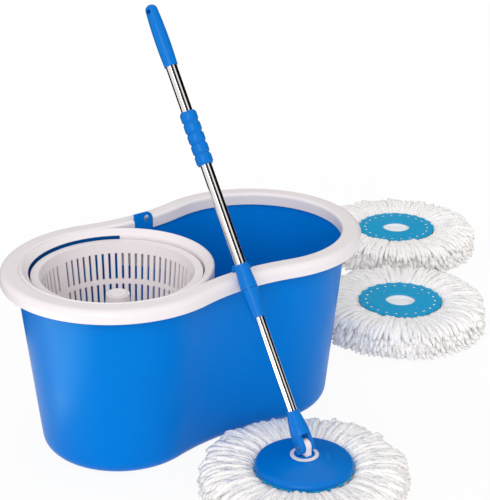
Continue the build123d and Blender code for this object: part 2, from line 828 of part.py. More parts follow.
# Ribbed sleeve over the joint between the two handle tubes
sleeve_foot = tube_joint - sleeve_length / 2
ring_pitch = sleeve_length / sleeve_rings
sleeve_points = [(outer_tube_radius + press_gap, sleeve_foot)]
for number in range(sleeve_rings):
    start = sleeve_foot + number * ring_pitch
    sleeve_points += [
        (sleeve_waist_radius, start),
        (sleeve_radius, start + sleeve_shoulder),
        (sleeve_radius, start + ring_pitch - sleeve_shoulder),
    ]
sleeve_points += [
    (sleeve_waist_radius, sleeve_foot + sleeve_length),
    (outer_tube_radius + press_gap, sleeve_foot + sleeve_length),
]
with BuildPart() as ribbed_sleeve:
    with BuildSketch(pole_side):
        with BuildLine():
            Polyline(*sleeve_points, close=True)
        make_face()
    revolve(axis=pole_axis)
export(ribbed_sleeve, "ribbed_sleeve")

# End grip with a hole to hang it by
with BuildPart() as end_grip:
    with BuildSketch(pole_side):
        with BuildLine():
            Polyline(
                (0, grip_tip),
                (0, grip_foot + grip_socket),
                (outer_tube_radius + press_gap, grip_foot + grip_socket),
                (outer_tube_radius + press_gap, grip_foot),
                (grip_mouth_radius, grip_foot),
            )
            ThreePointArc(
                (grip_mouth_radius, grip_foot),
                (grip_belly_radius, grip_foot + grip_belly),
                (grip_tip_radius, grip_tip - grip_round),
            )
            ThreePointArc(
                (grip_tip_radius, grip_tip - grip_round),
                (grip_tip_radius * cos(pi / 4), grip_tip - grip_round * (1 - sin(pi / 4))),
                (0, grip_tip),
            )
        make_face()
    revolve(axis=pole_axis)
    hang_dir = pole.x_dir * cos(radians(hang_hole_turn)) + pole.y_dir * sin(radians(hang_hole_turn))
    hang_centre = pivot + pole_dir * (grip_tip - hang_hole_inset)
    with BuildSketch(Plane(origin=hang_centre, z_dir=hang_dir)):
        Circle(hang_hole_radius)
    extrude(amount=2 * grip_belly_radius, both=True, mode=Mode.SUBTRACT)
export(end_grip, "end_grip")

print("pivot", tuple(pivot), "hinge", tuple(hinge), "pole", tuple(pole_dir), "tilt", degrees(tilt))
print("lock at", lock_part, "joint at", tube_joint, "tip at", grip_tip)
print("hang hole", tuple(hang_centre), tuple(hang_dir))
print("drive ratio rad per m", 2 * pi / rod_lead * 1000)
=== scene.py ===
# %% [markdown]
# # A spin mop with its bucket and two spare heads
# The bucket, the spinning basket, the mop and the two spare heads come from the CAD model, which also
# says what moves. This file gives them their looks: moulded plastic, polished tube and loose yarn.
# The frame is loaded first.

# %% Load the frame
import json
import math
import random

import bmesh
import bpy
import numpy as np
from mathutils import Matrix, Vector


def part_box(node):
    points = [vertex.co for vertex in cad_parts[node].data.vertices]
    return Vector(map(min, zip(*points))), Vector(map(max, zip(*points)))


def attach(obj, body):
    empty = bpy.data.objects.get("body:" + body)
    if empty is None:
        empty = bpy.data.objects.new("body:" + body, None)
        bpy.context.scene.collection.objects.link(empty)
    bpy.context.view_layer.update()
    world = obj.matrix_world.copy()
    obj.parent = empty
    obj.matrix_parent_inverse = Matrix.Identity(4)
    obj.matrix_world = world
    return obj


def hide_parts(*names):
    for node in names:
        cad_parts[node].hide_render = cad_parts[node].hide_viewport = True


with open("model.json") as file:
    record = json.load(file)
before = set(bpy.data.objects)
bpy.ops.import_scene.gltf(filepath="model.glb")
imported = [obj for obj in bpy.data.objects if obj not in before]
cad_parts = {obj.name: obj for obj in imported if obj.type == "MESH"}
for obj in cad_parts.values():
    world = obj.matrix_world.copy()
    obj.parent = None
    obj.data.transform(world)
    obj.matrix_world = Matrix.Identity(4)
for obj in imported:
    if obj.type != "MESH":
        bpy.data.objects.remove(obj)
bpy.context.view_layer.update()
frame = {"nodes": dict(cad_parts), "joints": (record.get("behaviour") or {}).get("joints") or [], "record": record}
nodes = frame["nodes"]

# %% [markdown]
# ## The camera
# The photograph looks down on the bucket from its front left with a long lens. A camera could be set
# by eye. Here its place and focal length come from fitting the bucket's rim and foot to the picture,
# so nothing has to be shifted afterwards.

# %% Camera
image_width = 490
focal_pixels = 1641.1
sensor_width = 36.0
camera_place = (-1.1125, -1.5923, 1.0467)
camera_heading = math.radians(-37.18)
camera_dip = math.radians(22.63)
camera_data = bpy.data.cameras.new("photo_camera")
camera_data.sensor_fit = "HORIZONTAL"
camera_data.sensor_width = sensor_width
camera_data.lens = focal_pixels / image_width * sensor_width
camera = bpy.data.objects.new("photo_camera", camera_data)
camera.location = camera_place
camera.rotation_euler = (math.pi / 2 - camera_dip, 0, camera_heading)
bpy.context.scene.collection.objects.link(camera)
bpy.context.scene.camera = camera
bpy.context.scene.view_settings.view_transform = "Standard"
print("lens:", round(camera_data.lens, 1), "mm")

# %% [markdown]
# ## Helpers for node trees
# Shader trees are long to write by hand, and the same few steps come back in each of them. Small
# helpers keep them readable: one fills or links a node's inputs, one adds a node, one works out a
# value and one blends two colours. A Mix node has a set of sockets for each kind of data, so the
# colour sockets are picked by their place in the list.

# %% Node helpers
COLOUR, VALUE, NORMAL = "NodeSocketColor", "NodeSocketFloat", "NodeSocketVector"
MIX_FIRST, MIX_SECOND, MIX_RESULT = 6, 7, 2


def fill_inputs(tree, node, inputs):
    """Fills or links a node's inputs, each given by its name or its place."""
    for name, value in inputs.items():
        if isinstance(value, bpy.types.NodeSocket):
            tree.links.new(value, node.inputs[name])
        else:
            node.inputs[name].default_value = value


def add_node(tree, kind, label="", inputs=None, **settings):
    """One node, with its properties set and its inputs filled or linked."""
    node = tree.nodes.new(kind)
    node.label = label
    for name, value in settings.items():
        setattr(node, name, value)
    fill_inputs(tree, node, inputs or {})
    return node


def work_out(tree, operation, *values):
    """The result of a math node, whose inputs are filled or linked in order."""
    node = add_node(tree, "ShaderNodeMath", operation=operation, inputs=dict(enumerate(values)))
    return node.outputs["Value"]


def blend(tree, label, share, first, second):
    """The result of a node that mixes two colours."""
    inputs = {"Factor": share, MIX_FIRST: first, MIX_SECOND: second}
    return add_node(tree, "ShaderNodeMix", label, inputs, data_type="RGBA").outputs[MIX_RESULT]


print("node helpers ready")

# %% [markdown]
# Some effects are shared by several materials. A node group holds such an effect once, and each
# material places it with its own values. Colours are written as they look on a screen and turned into
# the scene-linear values that shaders work with.

# %% Group and material helpers
def new_group(name, takes, gives):
    """A shader node group with the named inputs and outputs, and its two end nodes."""
    group = bpy.data.node_groups.new(name, "ShaderNodeTree")
    for socket, kind, value in takes:
        made = group.interface.new_socket(socket, in_out="INPUT", socket_type=kind)
        made.default_value = value
    for socket, kind in gives:
        group.interface.new_socket(socket, in_out="OUTPUT", socket_type=kind)
    start = group.nodes.new("NodeGroupInput")
    end = group.nodes.new("NodeGroupOutput")
    return group, start, end


def place_group(tree, group, **values):
    """The group as a node of a material, with this material's own values."""
    node = tree.nodes.new("ShaderNodeGroup")
    node.node_tree = group
    for name, value in values.items():
        node.inputs[name.replace("_", " ")].default_value = value
    return node


def new_material(name):
    """A material, with its node tree and the surface shader in it."""
    material = bpy.data.materials.new(name)
    material.use_nodes = True
    return material, material.node_tree, material.node_tree.nodes["Principled BSDF"]


def linear(red, green, blue):
    """A colour of 0 to 255 a channel, as the shader's own scene-linear values."""
    steps = [channel / 255 for channel in (red, green, blue)]
    return tuple(s / 12.92 if s < 0.04045 else ((s + 0.055) / 1.055) ** 2.4 for s in steps) + (1,)


print("group helpers ready")

# %% [markdown]
# ## Shared effects
# Moulded plastic is never one flat colour. Its pigment flows unevenly and its skin has a fine
# pebble, so one group gives every plastic a mottle, a roughness that wanders and a small height.
# A second group turns the hard CAD edges into the small radius that a mould leaves there, and marks
# the edges, along which the materials paint a highlight. A third lays the short straight scuffs of
# handling over it. Each material sets its own values.

# %% Group: moulded skin
moulded_skin, skin_in, skin_out = new_group(
    "moulded skin",
    [
        ("Colour", COLOUR, (0.5, 0.5, 0.5, 1)),
        ("Deep Colour", COLOUR, (0.4, 0.4, 0.4, 1)),
        ("Flow Scale", VALUE, 14.0),
        ("Pebble Scale", VALUE, 900.0),
        ("Smooth Roughness", VALUE, 0.25),
        ("Dull Roughness", VALUE, 0.4),
    ],
    [("Colour", COLOUR), ("Roughness", VALUE), ("Height", VALUE)],
)
skin_place = add_node(moulded_skin, "ShaderNodeTexCoord")
flow = add_node(
    moulded_skin,
    "ShaderNodeTexNoise",
    "pigment flow",
    {
        "Vector": skin_place.outputs["Object"],
        "Scale": skin_in.outputs["Flow Scale"],
        "Detail": 3.0,
        "Distortion": 0.6,
    },
)
pebble = add_node(
    moulded_skin,
    "ShaderNodeTexNoise",
    "pebble",
    {
        "Vector": skin_place.outputs["Object"],
        "Scale": skin_in.outputs["Pebble Scale"],
        "Detail": 2.0,
    },
)
pigment = blend(
    moulded_skin,
    "pigment",
    flow.outputs["Fac"],
    skin_in.outputs["Colour"],
    skin_in.outputs["Deep Colour"],
)
skin_roughness = add_node(
    moulded_skin,
    "ShaderNodeMapRange",
    "gloss",
    {
        "Value": flow.outputs["Fac"],
        "From Min": 0.3,
        "From Max": 0.7,
        "To Min": skin_in.outputs["Smooth Roughness"],
        "To Max": skin_in.outputs["Dull Roughness"],
    },
)
fill_inputs(
    moulded_skin,
    skin_out,
    {
        "Colour": pigment,
        "Roughness": skin_roughness.outputs["Result"],
        "Height": pebble.outputs["Fac"],
    },
)
print("group:", moulded_skin.name)

# %% Group: soft edge
soft_edge, edge_in, edge_out = new_group(
    "soft edge",
    [("Radius", VALUE, 0.001)],
    [("Normal", NORMAL), ("Edge", VALUE)],
)
rounded = add_node(
    soft_edge, "ShaderNodeBevel", "mould radius", {"Radius": edge_in.outputs["Radius"]}, samples=6
)
surface = add_node(soft_edge, "ShaderNodeNewGeometry")
turned = add_node(
    soft_edge,
    "ShaderNodeVectorMath",
    "how far it turns",
    {0: rounded.outputs["Normal"], 1: surface.outputs["Normal"]},
    operation="DOT_PRODUCT",
)
# The edge mask is where the materials lighten the pigment, as a painted highlight on the edges.
edge_mask = add_node(
    soft_edge,
    "ShaderNodeMapRange",
    "edge mask",
    {
        "Value": turned.outputs["Value"],
        "From Min": 1.0,
        "From Max": 0.75,
        "To Min": 0.0,
        "To Max": 1.0,
    },
)
fill_inputs(
    soft_edge,
    edge_out,
    {"Normal": rounded.outputs["Normal"], "Edge": edge_mask.outputs["Result"]},
)
print("group:", soft_edge.name)

# %% Group: handling scuffs
handling_scuffs, scuff_in, scuff_out = new_group(
    "handling scuffs",
    [("Scale", VALUE, 30.0), ("Stretch", VALUE, 18.0), ("Amount", VALUE, 0.4)],
    [("Mask", VALUE)],
)
scuff_place = add_node(handling_scuffs, "ShaderNodeTexCoord")
stretch = add_node(
    handling_scuffs,
    "ShaderNodeCombineXYZ",
    "stretch",
    {"X": 1.0, "Y": 1.0, "Z": scuff_in.outputs["Stretch"]},
)
turned_place = add_node(
    handling_scuffs,
    "ShaderNodeMapping",
    "slanting",
    {
        "Vector": scuff_place.outputs["Object"],
        "Rotation": (0.5, 0.9, 0.3),
        "Scale": stretch.outputs["Vector"],
    },
)
scratches = add_node(
    handling_scuffs,
    "ShaderNodeTexNoise",
    "scratches",
    {
        "Vector": turned_place.outputs["Vector"],
        "Scale": scuff_in.outputs["Scale"],
        "Detail": 5.0,
    },
)
patches = add_node(
    handling_scuffs,
    "ShaderNodeTexNoise",
    "where it is handled",
    {"Vector": scuff_place.outputs["Object"], "Scale": 9.0, "Detail": 1.0},
)
sharp = add_node(
    handling_scuffs,
    "ShaderNodeMapRange",
    "sharp scratches",
    {"Value": scratches.outputs["Fac"], "From Min": 0.62, "From Max": 0.75},
)
spread = add_node(
    handling_scuffs,
    "ShaderNodeMapRange",
    "handled patches",
    {"Value": patches.outputs["Fac"], "From Min": 0.45, "From Max": 0.7},
)
scuffed = work_out(handling_scuffs, "MULTIPLY", sharp.outputs["Result"], spread.outputs["Result"])
scuff_mask = work_out(handling_scuffs, "MULTIPLY", scuffed, scuff_in.outputs["Amount"])
fill_inputs(handling_scuffs, scuff_out, {"Mask": scuff_mask})
print("group:", handling_scuffs.name)

# %% [markdown]
# ## Moulded plastics
# The tub, the mop fittings, the white frame and the teal refill rings are all injection moulded.
# One function builds the material from the shared groups; only colours, gloss and scale differ.
# Scuffs raise the roughness and lighten the pigment a little, as they do on a used bucket. Along
# every edge the pigment is lightened as well, which is a painted highlight and not wear. The tub's
# highlight is tinted, because in the photograph it is a paler, greener blue and not white.

# %% Plastic material
scuff_amount = 0.2
scuff_roughness = 0.3
# How much the pigment is lightened along the edges: a painted highlight, not wear.
edge_highlight_share = 0.16
plain_tint = (1, 1, 1, 1)
cyan_tint = (0.2, 1, 0.5, 1)


def moulded_plastic(
    name, colour, deep, scuff_and_highlight_colour, gloss, dull, edge, flow_scale=14.0, shine=0.5, tint=plain_tint
):
    """A plastic with flowing pigment, a pebbled skin, soft edges with a painted highlight, and faint scuffs."""
    material, tree, shader = new_material(name)
    skin = place_group(
        tree,
        moulded_skin,
        Colour=linear(*colour),
        Deep_Colour=linear(*deep),
        Flow_Scale=flow_scale,
        Smooth_Roughness=gloss,
        Dull_Roughness=dull,
    )
    scuffs = place_group(tree, handling_scuffs, Amount=scuff_amount)
    edges = place_group(tree, soft_edge, Radius=edge)
    scuff = scuffs.outputs["Mask"]
    # Painted highlight: the pigment is lightened along every edge, where gloss would light it.
    edge_highlight = work_out(tree, "MULTIPLY", edges.outputs["Edge"], edge_highlight_share)
    # The lighter colour stands for both the real scuffs and the painted edge highlight.
    scuffs_and_edge_highlight = work_out(tree, "MAXIMUM", edge_highlight, scuff)
    bump = add_node(
        tree,
        "ShaderNodeBump",
        "pebbled skin",
        {
            "Strength": 0.12,
            "Distance": 0.0002,
            "Height": skin.outputs["Height"],
            "Normal": edges.outputs["Normal"],
        },
    )
    fill_inputs(
        tree,
        shader,
        {
            "Base Color": blend(tree, "rubbed pigment", scuffs_and_edge_highlight, skin.outputs["Colour"], linear(*scuff_and_highlight_colour)),
            "Roughness": work_out(
                tree, "MULTIPLY_ADD", scuff, scuff_roughness, skin.outputs["Roughness"]
            ),
            "Normal": bump.outputs["Normal"],
            "Specular IOR Level": shine,
            "Specular Tint": tint,
        },
    )
    return material


# The edge share printed here is the painted edge highlight.
print("edge wear:", edge_highlight_share, "scuffs:", scuff_amount)

# %% Five plastics
# Each plastic's lighter colour is used for its scuffs and for its painted edge highlight.
tub_plastic = moulded_plastic(
    "bucket_blue",
    colour=(0, 121, 213),
    deep=(0, 115, 207),
    scuff_and_highlight_colour=(60, 160, 225),
    gloss=0.3,
    dull=0.4,
    edge=0.0012,
    shine=0.12,
    tint=cyan_tint,
)
fitting_plastic = moulded_plastic(
    "mop_blue",
    colour=(0, 116, 203),
    deep=(0, 109, 196),
    scuff_and_highlight_colour=(60, 160, 224),
    gloss=0.2,
    dull=0.28,
    edge=0.0006,
    flow_scale=24.0,
    shine=0.14,
)
frame_plastic = moulded_plastic(
    "frame_white",
    colour=(238, 232, 233),
    deep=(233, 225, 227),
    scuff_and_highlight_colour=(250, 248, 248),
    gloss=0.28,
    dull=0.4,
    edge=0.0012,
    shine=0.3,
)
ring_plastic = moulded_plastic(
    "ring_teal",
    colour=(28, 164, 213),
    deep=(20, 154, 203),
    scuff_and_highlight_colour=(84, 186, 222),
    gloss=0.3,
    dull=0.42,
    edge=0.0006,
    flow_scale=30.0,
    shine=0.25,
)
bearing_plastic = moulded_plastic(
    "bearing_nylon",
    colour=(226, 222, 210),
    deep=(214, 208, 194),
    scuff_and_highlight_colour=(238, 236, 228),
    gloss=0.4,
    dull=0.55,
    edge=0.0004,
)
print("plastics made: 5")

# %% [markdown]
# ## Polished tube
# The pole is thin stainless tube, polished along its length. Brushing leaves hair lines that run
# with the pole, so the noise is stretched that way, and they move the roughness and the height.
# The pole leans, so the direction of the stretch is read from the joint along which it slides.

# %% Group: brushed lines
pole_joint = next(j for j in frame["joints"] if j["name"] == "handle_press")
pole_line = -Vector(pole_joint["axis"]).normalized()
pole_turn = pole_line.rotation_difference(Vector((0, 0, 1))).to_euler()

brushed_lines, brush_in, brush_out = new_group(
    "brushed lines",
    [
        ("Fine Scale", VALUE, 1400.0),
        ("Length", VALUE, 0.02),
        ("Smooth Roughness", VALUE, 0.08),
        ("Dull Roughness", VALUE, 0.2),
    ],
    [("Roughness", VALUE), ("Height", VALUE), ("Tarnish", VALUE)],
)
brush_place = add_node(brushed_lines, "ShaderNodeTexCoord")
brush_axis = add_node(
    brushed_lines,
    "ShaderNodeCombineXYZ",
    "line length",
    {"X": 1.0, "Y": 1.0, "Z": brush_in.outputs["Length"]},
)
to_pole = add_node(
    brushed_lines,
    "ShaderNodeMapping",
    "along the pole",
    {"Vector": brush_place.outputs["Object"], "Rotation": tuple(pole_turn)},
)
squeeze = add_node(
    brushed_lines,
    "ShaderNodeVectorMath",
    "stretch",
    {0: to_pole.outputs["Vector"], 1: brush_axis.outputs["Vector"]},
    operation="MULTIPLY",
)
hair = add_node(
    brushed_lines,
    "ShaderNodeTexNoise",
    "hair lines",
    {
        "Vector": squeeze.outputs["Vector"],
        "Scale": brush_in.outputs["Fine Scale"],
        "Detail": 3.0,
    },
)
tarnish = add_node(
    brushed_lines,
    "ShaderNodeTexNoise",
    "finger marks",
    {"Vector": brush_place.outputs["Object"], "Scale": 45.0, "Detail": 4.0},
)
brush_roughness = add_node(
    brushed_lines,
    "ShaderNodeMapRange",
    "gloss",
    {
        "Value": hair.outputs["Fac"],
        "From Min": 0.3,
        "From Max": 0.7,
        "To Min": brush_in.outputs["Smooth Roughness"],
        "To Max": brush_in.outputs["Dull Roughness"],
    },
)
fill_inputs(
    brushed_lines,
    brush_out,
    {
        "Roughness": brush_roughness.outputs["Result"],
        "Height": hair.outputs["Fac"],
        "Tarnish": tarnish.outputs["Fac"],
    },
)
print("pole direction:", [round(v, 4) for v in pole_line])

# %% Metal materials
def polished_metal(name, colour, stained, smooth, dull, edge):
    """Metal with brushed hair lines, faint finger marks and soft edges."""
    material, tree, shader = new_material(name)
    lines = place_group(tree, brushed_lines, Smooth_Roughness=smooth, Dull_Roughness=dull)
    edges = place_group(tree, soft_edge, Radius=edge)
    marks = lines.outputs["Tarnish"]
    bump = add_node(
        tree,
        "ShaderNodeBump",
        "hair lines",
        {
            "Strength": 0.02,
            "Distance": 0.0001,
            "Height": lines.outputs["Height"],
            "Normal": edges.outputs["Normal"],
        },
    )
    fill_inputs(
        tree,
        shader,
        {
            "Base Color": blend(tree, "finger marks", marks, linear(*colour), linear(*stained)),
            "Roughness": lines.outputs["Roughness"],
            "Normal": bump.outputs["Normal"],
            "Metallic": 1.0,
        },
    )
    return material


tube_chrome = polished_metal(
    "pole_chrome",
    colour=(236, 234, 232),
    stained=(224, 220, 216),
    smooth=0.05,
    dull=0.1,
    edge=0.0003,
)
pin_steel = polished_metal(
    "pin_steel",
    colour=(196, 196, 198),
    stained=(172, 170, 168),
    smooth=0.18,
    dull=0.32,
    edge=0.0003,
)
print("metals made: 2")

# %% [markdown]
# ## Yarn
# Microfibre yarn is white and matt, and fuzzy at its edge. Fine fibres catch the light as sheen,
# and each strand is a slightly different white, which the mesh carries as an attribute. The same
# attribute paints the lower rows and the core darker, as painted shade under the top strands. A
# picture of yarn could be wrapped on instead, but it would stretch along the strands, and noise doesn't.

# %% Yarn material
deep_yarn = linear(243, 239, 237)
bright_yarn = linear(254, 251, 249)
yarn, yarn_tree, yarn_shader = new_material("strand_white")
# The strand shade attribute holds each strand's random tone and, for the lower rows and the core, painted shade.
strand_shade = add_node(
    yarn_tree, "ShaderNodeAttribute", "strand shade", attribute_name="strand_shade"
)
yarn_place = add_node(yarn_tree, "ShaderNodeTexCoord")
fibres = add_node(
    yarn_tree,
    "ShaderNodeTexNoise",
    "fibres",
    {"Vector": yarn_place.outputs["Object"], "Scale": 900.0, "Detail": 4.0},
)
tufts = add_node(
    yarn_tree,
    "ShaderNodeTexVoronoi",
    "tufts",
    {"Vector": yarn_place.outputs["Object"], "Scale": 420.0},
)
yarn_bump = add_node(
    yarn_tree,
    "ShaderNodeBump",
    "fuzz",
    {
        "Strength": 0.5,
        "Distance": 0.0012,
        "Height": work_out(yarn_tree, "ADD", fibres.outputs["Fac"], tufts.outputs["Distance"]),
    },
)
fill_inputs(
    yarn_tree,
    yarn_shader,
    {
        "Base Color": blend(
            yarn_tree, "strand tone", strand_shade.outputs["Fac"], deep_yarn, bright_yarn
        ),
        "Normal": yarn_bump.outputs["Normal"],
        "Roughness": 0.95,
        "Sheen Weight": 0.4,
        "Sheen Roughness": 0.5,
    },
)
print("yarn made")

# %% [markdown]
# The backing that the yarn is sewn into is a flat felted cloth. Two crossed waves make its weave,
# and a slow noise keeps its white from being even.

# %% Backing cloth
thread_scale = 240.0
thread_wander = 1.5
deep_felt = linear(238, 236, 236)
bright_felt = linear(250, 249, 248)
backing, backing_tree, backing_shader = new_material("backing_cloth")
backing_place = add_node(backing_tree, "ShaderNodeTexCoord")
threads = [
    add_node(
        backing_tree,
        "ShaderNodeTexWave",
        label,
        {
            "Vector": backing_place.outputs["Object"],
            "Scale": thread_scale,
            "Distortion": thread_wander,
        },
        bands_direction=direction,
    ).outputs["Fac"]
    for label, direction in (("warp", "X"), ("weft", "Y"))
]
felt = add_node(
    backing_tree,
    "ShaderNodeTexNoise",
    "felt",
    {"Vector": backing_place.outputs["Object"], "Scale": 90.0, "Detail": 4.0},
)
backing_bump = add_node(
    backing_tree,
    "ShaderNodeBump",
    "weave",
    {
        "Strength": 0.3,
        "Distance": 0.0003,
        "Height": work_out(backing_tree, "MAXIMUM", *threads),
    },
)
fill_inputs(
    backing_tree,
    backing_shader,
    {
        "Base Color": blend(
            backing_tree, "felt tone", felt.outputs["Fac"], deep_felt, bright_felt
        ),
        "Normal": backing_bump.outputs["Normal"],
        "Roughness": 0.9,
    },
)
print("backing cloth made")

# %% [markdown]
# ## Dressing the CAD pieces
# The record names a material slot for each node. Every node takes the finish of its slot, so a scene
# that repaints a slot later repaints all of its pieces together.

# %% Dress the nodes
finishes = {
    "bucket_blue": tub_plastic,
    "mop_blue": fitting_plastic,
    "frame_white": frame_plastic,
    "ring_teal": ring_plastic,
    "bearing_nylon": bearing_plastic,
    "pole_chrome": tube_chrome,
    "pin_steel": pin_steel,
    "strand_white": yarn,
}
slot_of = {part["node"]: part["material_slot"] for part in frame["record"]["subparts"]}
for node_name, piece in nodes.items():
    piece.data.materials.clear()
    piece.data.materials.append(finishes[slot_of[node_name]])
print("dressed:", len(slot_of))

# %% [markdown]
# ## Two pieces recut
# The photograph shows the tub's ears thin, with open eyes, and behind the basket an open arc that is
# tall enough to show the blue tub. The CAD has both, but with thicker plastic round them. They could
# be modelled again, but it is simpler to copy the two pieces and move some points, and the copies
# stand for the CAD pieces here. The ears' inner faces are set back. Round the basket, away from its
# half skirt, the collar's edge is thinned and the lip on the tub's neck is shortened.

# %% Sizes of the recut
def middle(node):
    """The plan centre of a CAD node."""
    low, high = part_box(node)
    return ((low.x + high.x) / 2, (low.y + high.y) / 2)


frame_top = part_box("rim_frame")[1].z
tub_points = [vertex.co for vertex in nodes["bucket_shell"].data.vertices]
ear_face = min(abs(point.y) for point in tub_points if point.z > frame_top)
ear_setback = 0.005
ear_depth = 0.024
ear_reach = 0.03
face_slack = 0.0003
basket_axis = middle("basket_spindle")
arc_start = math.radians(50)
collar = {"radius": (0.0, 0.1105), "top": frame_top - 0.007, "foot": frame_top - 0.010, "keep": 0.2}
neck_lip = {"radius": (0.1195, 0.133), "top": frame_top - 0.0025, "foot": 0.0, "keep": 0.4}
print("ear face:", round(ear_face, 4), "collar kept:", collar["keep"], "lip kept:", neck_lip["keep"])

# %% Recut tub and frame
def thin_ear(point):
    """Sets back a point of an ear's inner face."""
    on_ear = point.z > frame_top - ear_depth and abs(point.x) < ear_reach
    if on_ear and math.isclose(abs(point.y), ear_face, abs_tol=face_slack):
        point.y += math.copysign(ear_setback, point.y)


def open_arc(point):
    """Draws a point of the collar's edge or of the lip up towards the top of that band."""
    across, along = point.x - basket_axis[0], point.y - basket_axis[1]
    radius = math.hypot(across, along)
    away = abs(math.atan2(along, across))
    for band in (collar, neck_lip):
        near, far = band["radius"]
        if near < radius < far and band["foot"] < point.z < band["top"] and away > arc_start:
            point.z = band["top"] - (band["top"] - point.z) * band["keep"]


def place_object(name, data):
    """A new object of the scene that shows the given data."""
    made = bpy.data.objects.new(name, data)
    bpy.context.scene.collection.objects.link(made)
    return made


def recut(node, name, change):
    """A copy of a CAD piece with some of its points moved, which stands for the piece."""
    mesh = nodes[node].data.copy()
    mesh.name = name
    for vertex in mesh.vertices:
        change(vertex.co)
    piece = place_object(name, mesh)
    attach(piece, "bucket")
    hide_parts(node)
    print("recut:", name, "points:", len(mesh.vertices))


recut("bucket_shell", "eared_tub", thin_ear)
recut("rim_frame", "upper_frame", open_arc)

# %% [markdown]
# ## Lug boss
# The lug's white base shows in the photograph as a ring, with blue inside it. A low blue boss on the
# base leaves that ring, and the lug stands up through it. A painted mask could do the same, but a
# shape that is seen is better made as a mesh. It is built ring by ring, as are the strands below.

# %% Mesh helpers
def round_axis(centre, radius, angle, height):
    """A point at a radius and an angle round an upright axis."""
    return (centre[0] + radius * math.cos(angle), centre[1] + radius * math.sin(angle), height)


def close_tube(build, rings):
    """Faces between neighbouring rings of points, and one over each end."""
    corners = len(rings[0])
    for near, far in zip(rings, rings[1:]):
        for step in range(corners):
            after = (step + 1) % corners
            build.faces.new((near[step], near[after], far[after], far[step]))
    build.faces.new(list(reversed(rings[0])))
    build.faces.new(rings[-1])


def finished_piece(build, name, material, smooth=True):
    """What was built, as an object of the scene in its material."""
    mesh = bpy.data.meshes.new(name)
    build.normal_update()
    build.to_mesh(mesh)
    build.free()
    for face in mesh.polygons:
        face.use_smooth = smooth
    mesh.materials.append(material)
    return place_object(name, mesh)


print("mesh helpers ready")

# %% Lug boss
boss_steps = 72
boss_radius = 0.0128
boss_profile = [(0.0, -0.0003), (0.0, 0.0002), (0.0002, 0.0004), (0.0006, 0.0005)]
base_rise = 0.001
base_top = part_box("mop_plate")[1].z + base_rise
boss_centre = middle("swivel_lug")
boss_build = bmesh.new()
boss_rings = []
for inset, rise in boss_profile:
    ring = []
    for step in range(boss_steps):
        angle = 2 * math.pi * step / boss_steps
        spot = round_axis(boss_centre, boss_radius - inset, angle, base_top + rise)
        ring.append(boss_build.verts.new(spot))
    boss_rings.append(ring)
close_tube(boss_build, boss_rings)
lug_boss = finished_piece(boss_build, "lug_boss", fitting_plastic, smooth=False)
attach(lug_boss, "mop_head")
print("lug boss faces:", len(lug_boss.data.polygons))

# %% [markdown]
# ## Strands
# A refill is a thick wreath of twisted yarn sewn to the underside of its ring. The yarn comes up past
# the ring's edge, lies nearly flat and ends at the rim in soft tips at different heights, so the rim
# looks like a brush. Hair particles would be lighter to write, but they export as nothing, so each
# strand is a small lobed tube that twists as it goes, drawn from seeded numbers. Its line is given by
# a few points, a radius and a height each, whose corners are then cut until it is smooth.

# %% Strand helpers
sewn_height = 0.032
edge_bend = [(0.0615, 0.0335), (0.0665, 0.0462), (0.098, 0.0478)]
fall_width = 0.010
fall_height = 0.0458
corner_cuts = 3
cut_share = 0.25
strand_corners = 6
strand_lobe = 0.12


def strand_path(start, reach, lift, tip, count):
    """Points (radius, height) of one strand: under the ring, up past its edge, out to the tip."""
    sewn = [(start, sewn_height * lift)]
    bend = [(radius, height * lift) for radius, height in edge_bend]
    fall = [(reach - fall_width, fall_height * lift), (reach, tip)]
    line = np.array(sewn + bend + fall)
    for _ in range(corner_cuts):
        near = (1 - cut_share) * line[:-1] + cut_share * line[1:]
        far = cut_share * line[:-1] + (1 - cut_share) * line[1:]
        cut = np.stack((near, far), axis=1).reshape(-1, 2)
        line = np.vstack((line[:1], cut, line[-1:]))
    walked = np.concatenate(([0], np.cumsum(np.hypot(*np.diff(line, axis=0).T))))
    even = np.linspace(0, walked[-1], count)
    return np.column_stack([np.interp(even, walked, line[:, axis]) for axis in (0, 1)])


def add_strand(build, shade_layer, points, radii, twist, shade):
    """A closed tube along the points, whose lobed section turns steadily like twisted yarn."""
    rings = []
    for index, point in enumerate(points):
        before = points[max(index - 1, 0)]
        after = points[min(index + 1, len(points) - 1)]
        along = (after - before).normalized()
        across = along.cross(Vector((0, 0, 1))).normalized()
        upward = across.cross(along)
        ring = []
        for corner in range(strand_corners):
            angle = 2 * math.pi * corner / strand_corners + twist * index
            size = radii[index] * (1 + strand_lobe * (1 if corner % 2 else -1))
            offset = across * (math.cos(angle) * size) + upward * (math.sin(angle) * size)
            vertex = build.verts.new(point + offset)
            vertex[shade_layer] = shade
            ring.append(vertex)
        rings.append(ring)
    close_tube(build, rings)


print("corners of a strand:", strand_corners)

# %% [markdown]
# Under its teal ring each refill has a white backing of felted cloth that the yarn is sewn into. It
# swells up into the ring's holes, where it shows as white spots, and lies bare in the middle. A
# profile is spun round the axis, its outer band rises and falls a little at each bunch of yarn, as
# sewn cloth does, and a small pillow fills each hole.

# %% Pillows in the ring's holes
ring_holes = [
    {"count": 22, "shift": 0.5, "circle": 0.051, "half": (0.0021, 0.0037)},
    {"count": 4, "shift": 0.0, "circle": 0.036, "half": (0.0018, 0.0018)},
]
swell_rings = [(1.0, 0.0388), (0.98, 0.0408), (0.8, 0.0419), (0.45, 0.0424)]
swell_steps = 12


